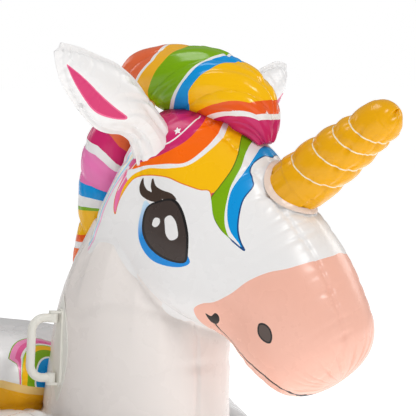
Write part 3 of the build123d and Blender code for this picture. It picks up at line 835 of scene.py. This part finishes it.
def make_hull():
    bag = pad(HULL_PLAN, HULL_CENTRE_Y, HULL_LEVELS, 900, 6.5)
    at = bag.flat()
    z = at[:, 2]
    along = bag.along.ravel()
    weld = np.abs(z - HULL_SEAM_Z)
    lift = creases(weld, along, 0.085, 0.0050, 0.050, 51, 0.0015)
    off_floor = np.clip((z - 0.01) / 0.05, 0, 1)
    lift += off_floor * (0.0030 * field(at, 3.6, 4.0) + 0.0010 * field(at, 12, 3.0))
    top = np.clip((z - 0.20) / 0.05, 0, 1)
    for y in BAFFLE_YS:
        d = at[:, 1] - y
        across = folds(at[:, 0] + 3 * y, 0.075, int(1000 + 100 * y))
        lift -= top * (0.0075 * groove_at(d, 0.020) + 0.0040 * across * close(d, 0.045))
    seat = seat_gap(at)
    dent = 0.007 * close(seat, 0.014) + 0.0030 * folds(along * 0.6, 0.05, 91) * close(seat, 0.05)
    lift -= np.where(z > 0.2, dent, 0)
    neck = from_neck(at)
    lift -= np.where(z > 0.13, 0.006 * close(neck, 0.014), 0)
    valve = np.linalg.norm(at[:, :2] - VALVE_AT, axis=1)
    lift *= np.clip((valve - 0.026) / 0.05, 0, 1)
    lift = np.where(z < 0.004, 0, lift)
    bag.push(lift)
    bag.p[..., 2] = np.clip(bag.p[..., 2], 0.0, None)
    bag.measure()
    # a rainbow ribbon down each side
    plan = np.stack([np.abs(at[:, 0]) / MM, at[:, 1] / MM], 1)
    ribbon_d = flat_distance(plan, RIBBON)
    side = shape_distance(plan, np.vstack([open_curve(RIBBON), [(0, -260), (0, 250)]]))
    marks = {"ribbon": np.where(side < 0, -ribbon_d, ribbon_d), "height": z / MM}
    m = Paint("hull_vinyl", WHITE, roughness=0.28)
    a = m.attribute
    above = m.below(m.math("MULTIPLY", a("height"), -1), -RIBBON_LOWEST)
    band = m.bands(m.remap(a("ribbon"), -50, 50), [
        (0.0, WHITE), (0.06, MAGENTA), (0.20, ORANGE), (0.32, YELLOW), (0.50, WHITE), (0.53, GREEN),
        (0.70, BLUE), (0.86, WHITE), (0.89, PINK), (0.96, WHITE),
    ])
    m.over(band, m.math("MULTIPLY", above, m.below(m.math("ABSOLUTE", a("ribbon")), 46.0)))
    covered = ((z > 0.2) & (seat < -0.03)) | ((z > 0.13) & (neck < -0.035))
    bag.build("hull_bag", m.done(), "hull_print", ["hull_top_panel", "hull_bottom_panel"],
              keep=~covered, **marks)
    row = int(np.argmin(np.abs(bag.p[..., 2].mean(1) - HULL_SEAM_Z)))
    ring = bag.p[row].copy()
    ring[:, 2] = HULL_SEAM_Z
    flange("hull_weld", ring, plain("weld_vinyl", (0.80, 0.795, 0.79)))


def seat_gap(at):
    """Distance in plan outside the foot of the seat, in metres."""
    ring = (closed_curve(whole(SEAT_PLAN), 8) - [0, SEAT_CENTRE_Y]) * 0.965 + [0, SEAT_CENTRE_Y]
    return shape_distance(at[:, :2], ring * MM)


def make_seat():
    bag = pad(SEAT_PLAN, SEAT_CENTRE_Y, SEAT_LEVELS, 560, 4.0)
    at = bag.flat()
    z = at[:, 2]
    along = bag.along.ravel()
    weld = np.abs(z - SEAT_SEAM_Z)
    lift = creases(weld, along, 0.055, 0.0040, 0.030, 61, 0.0022)
    lift += 0.0025 * field(at, 5, 6.0)
    foot = z - HULL_TOP
    lift -= 0.006 * close(foot, 0.010) + 0.004 * folds(along, 0.045, 63) * close(foot, 0.028)
    top = np.clip((z - 0.36) / 0.02, 0, 1)
    x = at[:, 0]
    lift -= top * (0.006 * groove_at(x, 0.018) + 0.003 * folds(at[:, 1], 0.07, 67) * close(x, 0.05))
    bag.push(lift)
    bag.measure()
    mirrored = np.stack([-np.abs(at[:, 0]), at[:, 1], z], 1) / MM
    swirl = np.linalg.norm(mirrored - [-62, -240, 302], axis=1)
    swirl += 1.5 * np.clip(350 - z / MM, 0, None) * np.clip((swirl - 72) / 10, 0, 1)
    border = np.minimum(np.interp(along, *GOLD_EDGE), np.interp(along.max() - along, *GOLD_EDGE))
    marks = {"swirl": swirl, "gold": z / MM - border}
    m = Paint("seat_vinyl", WHITE)
    a = m.attribute
    m.over(m.bands(m.remap(a("swirl"), 0, 100), [
        (0.0, MAGENTA), (0.15, WHITE), (0.19, BLUE), (0.42, WHITE), (0.45, GREEN), (0.60, YELLOW),
        (0.70, LIME), (0.73, WHITE), (0.77, (0.80, 0.12, 0.33)), (0.86, (0.88, 0.28, 0.52)),
        (0.955, GREEN), (0.975, WHITE),
    ]), m.below(a("swirl"), 98.0))
    m.over((0.88, 0.60, 0.22), m.below(a("gold"), 0.0))
    m.over(GOLD, m.below(a("gold"), -16.0))
    ob = bag.build("seat_bag", m.done(), "seat_print", ["seat_top_panel", "seat_bottom_panel"],
                   keep=z > 0.232, **marks)


def make_backrest():
    stations = []
    for a in np.linspace(0, math.pi, 17):
        side = np.array([math.cos(a), math.sin(a), 0])
        centre = (0, BACKREST_BEND_Y, BACKREST_Z) + BACKREST_BEND_R * side
        stations.append((centre, (-math.sin(a), math.cos(a), 0), side, BACKREST_R, BACKREST_R))
    caps = []
    for k in (4, 22, 42, 63, 82):
        r = math.radians(k)
        caps.append((math.cos(r) * BACKREST_R, max(math.sin(r) * BACKREST_R, 6)))
    first, last = stations[0], stations[-1]
    start = [((first[0][0], first[0][1] - d, first[0][2]), first[1], first[2], rr, rr) for d, rr in caps]
    end = [((last[0][0], last[0][1] - d, last[0][2]), last[1], last[2], rr, rr) for d, rr in reversed(caps)]
    bag = tube(start + stations + end, 200, 5.0)
    at = bag.flat()
    weld = np.abs(at[:, 2] - BACKREST_Z * MM)
    along = bag.along.ravel()
    lift = creases(weld, along, 0.060, 0.0060, 0.040, 71, 0.0022)
    lift += 0.0025 * field(at, 5, 12.0)
    inner = np.clip(-np.cos(bag.phi.ravel()), 0, None)
    lift -= 0.007 * inner * folds(along, 0.085, 73) + 0.005 * close(at[:, 2] - HULL_TOP, 0.012)
    bag.push(lift)
    bag.measure()
    ob = bag.build("backrest_bag", plain("backrest_vinyl", WHITE), "white_vinyl",
                   ["backrest_top_panel", "backrest_bottom_panel"], keep=at[:, 2] > 0.225)


# ---------------------------------------------------------------- horn, ears and hair
def make_horn():
    axis = on_pitch(HORN_PITCH)
    base = np.array(HORN_BASE)
    stations = [(tuple(base + axis * a), tuple(axis), (1, 0, 0), r, r) for a, r in HORN_STATIONS]
    bag = tube(stations, 260, 1.8)
    at = bag.flat()
    a = (at / MM - base) @ axis
    phi = bag.phi.ravel()
    # rings that lean round the horn, less so towards the tip
    tilt = -22 * np.cos(phi - math.radians(310))
    d = np.min(np.abs(a[:, None] + tilt[:, None] * HORN_RING_LEAN - HORN_RINGS), axis=1)
    swell = np.cos(np.pi - np.clip(d, 0, 24) / 24 * np.pi)
    lift = 0.0011 * swell * (a > 25) * (a < 235) - 0.0020 * groove_at(d, 7.0)
    lift += creases(np.abs(phi - 4.2) * 0.05, a * MM, 0.028, 0.0020, 0.020, 81, 0.0016)
    lift -= 0.0022 * folds(phi * 0.055 + a * 0.0004, 0.030, 83) * close(d, 10) * (a > 20)
    lift -= 0.0035 * folds(phi * 0.055, 0.040, 85) * close(np.clip(a - 4, 0, None), 22)
    tip = close(np.clip(262 - a, 0, None), 18)
    lift -= tip * (0.0060 * groove_at(phi - 3.6, 0.35) + 0.0045 * groove_at(phi - 5.4, 0.30))
    lift += 0.0010 * field(at, 18, 14.0)
    bag.push(lift)
    bag.measure()
    marks = {"ring": d, "foot": a}
    m = Paint("horn_vinyl", (0.84, 0.40, 0.0), roughness=0.24, ripple=0.2, scale=60, wrinkle=0.8)
    m.over((0.93, 0.82, 0.58), m.below(m.attribute("ring"), 1.35))
    bag.build("horn_bag", m.done(), "gold_vinyl", ["horn_shell"], **marks)

    # the pale collar where the horn is welded to the brow
    around, rows = 200, 26
    phi = np.linspace(0, 2 * np.pi, around, endpoint=False)
    up = np.cross(axis, [1, 0, 0])
    ring = np.cos(phi)[:, None] * np.array([1.0, 0, 0]) + np.sin(phi)[:, None] * up
    # each ray of the collar finds the head's surface by stepping outwards from the horn's axis
    points = np.zeros((rows, around, 3))
    drop = np.zeros((2, around))
    for k, radius in enumerate((56.0, 63.0)):
        heights = np.linspace(-70, 60, 261)
        probe = (base[None, None] + ring[None] * radius + axis[None, None] * heights[:, None, None]) * MM
        gap = from_head(probe.reshape(-1, 3)).reshape(len(heights), around)
        drop[k] = heights[np.argmax(gap > 0, axis=0)]
    ripple = waves(phi * 62, 24, 87)
    for i in range(rows):
        t = i / (rows - 1)
        radius = 54.5 + 9.0 * t
        height = drop[0] * (1 - t) + drop[1] * t + 4.0 * (1 - t) ** 3 - 1.2 * t
        height += 2.4 * np.sin(np.pi * t) ** 0.7 + 0.7 * ripple * np.sin(np.pi * t)
        points[i] = base + ring * radius + axis * height[:, None]
    collar = Bag(points * MM, (False, False))
    m = Paint("collar_vinyl", (0.82, 0.66, 0.56), wrinkle=0.6)
    collar.build("horn_collar_bag", m.done(), "white_vinyl", ["horn_collar"])


def make_ear(side):
    line = np.array(EAR_LINES[side], float)
    sign = -1 if side == "right" else 1
    facing = np.array([sign * 0.28, -0.96, 0])
    stations = []
    for i, (at, (w, t)) in enumerate(zip(line, EAR_WIDTHS)):
        ahead = line[min(i + 1, len(line) - 1)] - line[max(i - 1, 0)]
        ahead /= np.linalg.norm(ahead)
        stations.append((tuple(at), tuple(ahead), tuple(np.cross(facing, ahead)), w, t))
    bag = tube(stations, 260, 1.9, 0.22)
    at = bag.flat()
    phi = bag.phi.ravel()
    s = bag.s.ravel()
    along = bag.along.ravel()
    width = np.interp(s, np.linspace(0, 1, 6), [w for w, _ in EAR_WIDTHS]) * MM
    edge = np.abs(np.sin(phi)) * width
    puckers = folds(along + (np.cos(phi) > 0) * 0.31, 0.024, 95) ** 1.3
    lift = -0.0050 * puckers * close(edge, 0.016) * np.clip(edge / 0.004, 0, 1)
    lift += 0.0055 * groove_at(edge, 0.0035) - 0.0030 * groove_at(edge - 0.009, 0.004)
    lift += 0.0010 * field(at, 14, 20.0)
    lift -= 0.0080 * groove_at(s - 0.24, 0.13) * folds(phi * 0.045, 0.036, 97 + sign)
    lift -= 0.0040 * groove_at(s - 0.40, 0.10) * folds(phi * 0.05 + along * 0.5, 0.03, 99)
    bag.push(lift)
    bag.measure()
    front = (bag.n.reshape(-1, 3) @ facing) > 0
    across = -sign * np.cos(phi)
    pink = closed_curve(EAR_PINK)
    if side == "left":
        pink = pink * [0.8, 0.9] + [0.06, 0.04]
    d = shape_distance(np.stack([s * 3.2, across], 1), pink * [3.2, 1]) * 60
    marks = {"pink": np.where(front, d, 50.0)}
    m = Paint(side + "_ear_vinyl", WHITE, wrinkle=0.5)
    m.over((0.80, 0.13, 0.28), m.below(m.attribute("pink"), 0.0))
    m.over((0.66, 0.035, 0.16), m.below(m.attribute("pink"), -2.6))
    bag.build(side + "_ear_bag", m.done(), "ear_vinyl", [side + "_ear_front_panel", side + "_ear_back_panel"],
              keep=from_head(at) > -0.03, **marks)


def folded(phi):
    """The angle round a bag measured on one side, so both sides carry the same print."""
    deg = np.degrees(phi) % 360
    return np.where((deg < 90) | (deg > 270), (180 - deg) % 360, deg)


def hair(name, bag, value, colours, replaced, slot, lean, seed, keep=None, stars=()):
    """A twisted hair bag with bands of print."""
    at = bag.flat()
    along = bag.along.ravel()
    phi = bag.phi.ravel()
    turn = folded(phi)
    weld = np.abs(at[:, 0])
    lift = creases(weld, along, 0.034, 0.0040, 0.024, seed, 0.0030)
    lobes = along - lean * (224 - turn) / 116
    lift += 0.0058 * (np.abs(np.sin(np.pi * lobes / 0.105)) ** 0.5 - 0.7)
    lift -= 0.0030 * folds(lobes + phi * 0.012, 0.062, seed + 3) ** 1.6
    lift -= 0.0008 * folds(phi * 0.06 + along * 0.4, 0.036, seed + 5)
    lift += 0.0012 * field(at, 15, seed)
    bag.push(lift)
    bag.measure()
    m = Paint(name + "_vinyl", WHITE, roughness=0.20, coat=0.05, ripple=0.25, scale=45, wrinkle=0.9)
    last = len(colours) - 1
    stops = [(max((i - 0.5) / last, 0), colour) for i, colour in enumerate(colours)]
    m.over(m.bands(m.attribute("band"), stops), m.below(m.attribute("band"), 99.0))
    marks = {"band": value}
    if len(stars):
        star = np.full(len(at), 1e3)
        for star_s, star_turn, size in stars:
            offset = np.stack([(bag.s.ravel() - star_s) * 480, (turn - star_turn) * 1.1], 1)
            star = np.minimum(star, star_distance(offset, size, 0.5))
        m.over(WHITE, m.below(m.attribute("star"), 0.0))
        marks["star"] = star
    bag.build(name, m.done(), slot, replaced, keep=keep, **marks)


def steps(position, turn, edges, turns):
    """Band number at each point (a sum of soft steps at the leaning edges, one unit each)."""
    value = np.zeros_like(position)
    for row in edges:
        value += np.clip((position - np.interp(turn, turns, row)) * 60 + 0.5, 0, 1)
    return value / len(edges)


def make_hair():
    turns = [75, 110, 150, 190, 225, 260]
    edges = [
        (0.33, 0.32, 0.30, 0.21, 0.12, 0.06), (0.345, 0.335, 0.318, 0.228, 0.135, 0.075),
        (0.455, 0.43, 0.375, 0.31, 0.24, 0.19), (0.595, 0.580, 0.53, 0.470, 0.405, 0.34),
        (0.607, 0.592, 0.543, 0.487, 0.43, 0.365), (0.660, 0.645, 0.592, 0.540, 0.53, 0.45),
        (0.845, 0.838, 0.815, 0.705, 0.58, 0.50), (0.895, 0.890, 0.870, 0.775, 0.65, 0.55),
        (0.915, 0.912, 0.896, 0.815, 0.70, 0.60),
    ]
    bag = tube([((0, y, z), tuple(on_pitch(p)), (1, 0, 0), w, d)
                for y, z, p, d, w in FORELOCK_STATIONS], 260, 2.0)
    s, turn = bag.s.ravel(), folded(bag.phi.ravel())
    hair("forelock_bag", bag, steps(s, turn, edges, turns),
         [SALMON, WHITE, (0.92, 0.46, 0.02), GREEN, WHITE, BLUE, YELLOW, SCARLET, WHITE, MAGENTA],
         ["forelock_left_panel", "forelock_right_panel"], "forelock_print", 0.155, 101,
         keep=from_head(bag.flat()) > -0.03, stars=[(0.80, 185, 7.5), (0.885, 120, 6.5)])

    bag = tube([((0, y, z), (0, 0, 1), (1, 0, 0), w, d) for z, y, d, w in MANE_STATIONS], 220, 2.4)
    at = bag.flat()
    turn = folded(bag.phi.ravel())
    lean = np.interp(turn, [90, 150, 184, 205, 229, 252, 270], [30, 14, 4, -10, -30, -42, -48])
    level = (at[:, 2] / MM - lean * np.clip((at[:, 2] / MM - 640) / 90, 0, 1) - 500) / 400
    heights = [538, 567, 580, 594, 644, 650, 668, 690, 750, 768, 800, 845]
    edges = [((h - 500) / 400,) * 2 for h in heights]
    hair("mane_bag", bag, steps(level, turn, edges, [0, 360]),
         [PINK, ORANGE, WHITE, SCARLET, YELLOW, GREEN, WHITE, BLUE, (0.85, 0.20, 0.48), WHITE, MAGENTA,
          SALMON, YELLOW],
         ["mane_left_panel", "mane_right_panel"], "mane_print", 0.05, 121,
         keep=(from_head(at) > -0.03) & (from_neck(at) > -0.03))

    bag = tube([((0, y, z), tuple(on_pitch(p) * [1, -1, 1]), (1, 0, 0), w, d)
                for y, z, p, d, w in TAIL_STATIONS], 220, 2.6)
    at = bag.flat()
    s, turn = bag.s.ravel(), folded(bag.phi.ravel())
    level = s - 0.16 * (turn - 180) / 90
    places = [0.02, 0.12, 0.15, 0.27, 0.40, 0.43, 0.54, 0.66, 0.78, 0.81, 0.90]
    edges = [(p,) * 2 for p in places]
    hair("tail_bag", bag, steps(level, turn, edges, [0, 360]),
         [WHITE, YELLOW, WHITE, SCARLET, MAGENTA, WHITE, BLUE, GREEN, YELLOW, WHITE, ORANGE, PINK],
         ["tail_left_panel", "tail_right_panel"], "tail_print", 0.10, 131, keep=hull_outside(at))


def hull_outside(at):
    """True where a point of the tail's root is still outside the hull."""
    return ~((at[:, 2] < 0.215) & (at[:, 1] < 0.745))


make_head()
make_neck()
make_hull()
make_seat()
make_backrest()
make_horn()
make_ear("right")
make_ear("left")
make_hair()


# ---------------------------------------------------------------- handles and valves keep their own shape
def soft(name, base, roughness, through=0.0):
    m = Paint(name, base, roughness=roughness, coat=0.1, ripple=0.35, scale=90, wrinkle=0.1)
    m.shader.inputs["Transmission Weight"].default_value = through
    return m.done()


ivory = soft("handle_vinyl", (0.78, 0.765, 0.70), 0.34)
SOFT_PIECES = {
    "handle_grip": ivory,
    "handle_plate": ivory,
    "handle_patch": soft("patch_vinyl", (0.80, 0.79, 0.74), 0.30),
    "valve": soft("valve_vinyl", (0.80, 0.82, 0.83), 0.20, 0.25),
    "baffles": soft("baffle_sheet", (0.80, 0.79, 0.78), 0.35),
}
for ob in bpy.data.objects:
    for key, material in SOFT_PIECES.items():
        if ob.type == "MESH" and key in ob.name and not ob.name.endswith("_bag"):
            ob.data.materials.clear()
            ob.data.materials.append(material)

# ---------------------------------------------------------------- studio
SKY_LIGHT = 0.31
floor_paint = Paint("studio_floor_paint", (0.86,) * 3, roughness=0.9, coat=0.0, wrinkle=0.0, ripple=0.0)
floor_paint.shader.inputs["Emission Color"].default_value = (1, 1, 1, 1)
floor_paint.shader.inputs["Emission Strength"].default_value = 0.74
floor = floor_paint.done()


def make_floor():
    """A plain flat floor that reaches far beyond the float."""
    around, radii = 96, [0.0, 2.0, 6.0, 20.0, 60.0, 200.0]
    verts, faces = [], []
    for r in radii:
        for k in range(around):
            a = 2 * math.pi * k / around
            verts.append((r * math.cos(a), r * math.sin(a), -0.0015))
    for i in range(len(radii) - 1):
        for k in range(around):
            j = (k + 1) % around
            faces.append((i * around + k, (i + 1) * around + k, (i + 1) * around + j, i * around + j))
    shape("studio_floor", verts, faces, floor)


def soft_light(name, at, target, size, power):
    data = bpy.data.lights.new(name, "AREA")
    data.shape = "RECTANGLE"
    data.size, data.size_y = size
    data.energy = power
    ob = bpy.data.objects.new(name, data)
    bpy.context.scene.collection.objects.link(ob)
    ob.location = at
    ob.rotation_euler = (Vector(target) - Vector(at)).to_track_quat("-Z", "Y").to_euler()


make_floor()
centre = (0, -0.2, 0.5)
soft_light("key", (-1.2, -3.6, 3.6), centre, (1.0, 1.0), 62)
soft_light("fill", (3.4, -2.0, 2.2), centre, (1.6, 1.4), 22)
soft_light("top", (-0.6, 0.2, 4.2), centre, (1.4, 1.4), 36)
soft_light("back", (0.5, 4.2, 2.8), centre, (2.6, 1.8), 26)

world = bpy.data.worlds.new("studio")
bpy.context.scene.world = world
world.use_nodes = True
tree = world.node_tree
background = tree.nodes["Background"]
background.inputs["Color"].default_value = (1, 1, 1, 1)
# the sky lights the float softly, and is white to the camera
seen = tree.nodes.new("ShaderNodeLightPath")
level = tree.nodes.new("ShaderNodeMapRange")
level.inputs["To Min"].default_value, level.inputs["To Max"].default_value = SKY_LIGHT, 1.0
tree.links.new(seen.outputs["Is Camera Ray"], level.inputs["Value"])
tree.links.new(level.outputs["Result"], background.inputs["Strength"])
bpy.context.scene.view_settings.view_transform = "Standard"

# ---------------------------------------------------------------- camera
azimuth, elevation, distance = math.radians(-58), math.radians(4), 3.5
aim = Vector((0, -0.58, 0.655))
data = bpy.data.cameras.new("camera")
data.sensor_width = 36
data.lens = 157.8
camera = bpy.data.objects.new("camera", data)
bpy.context.scene.collection.objects.link(camera)
camera.location = aim + distance * Vector((
    math.sin(azimuth) * math.cos(elevation), -math.cos(azimuth) * math.cos(elevation), math.sin(elevation),
))
camera.rotation_euler = (aim - camera.location).to_track_quat("-Z", "Y").to_euler()
bpy.context.scene.camera = camera
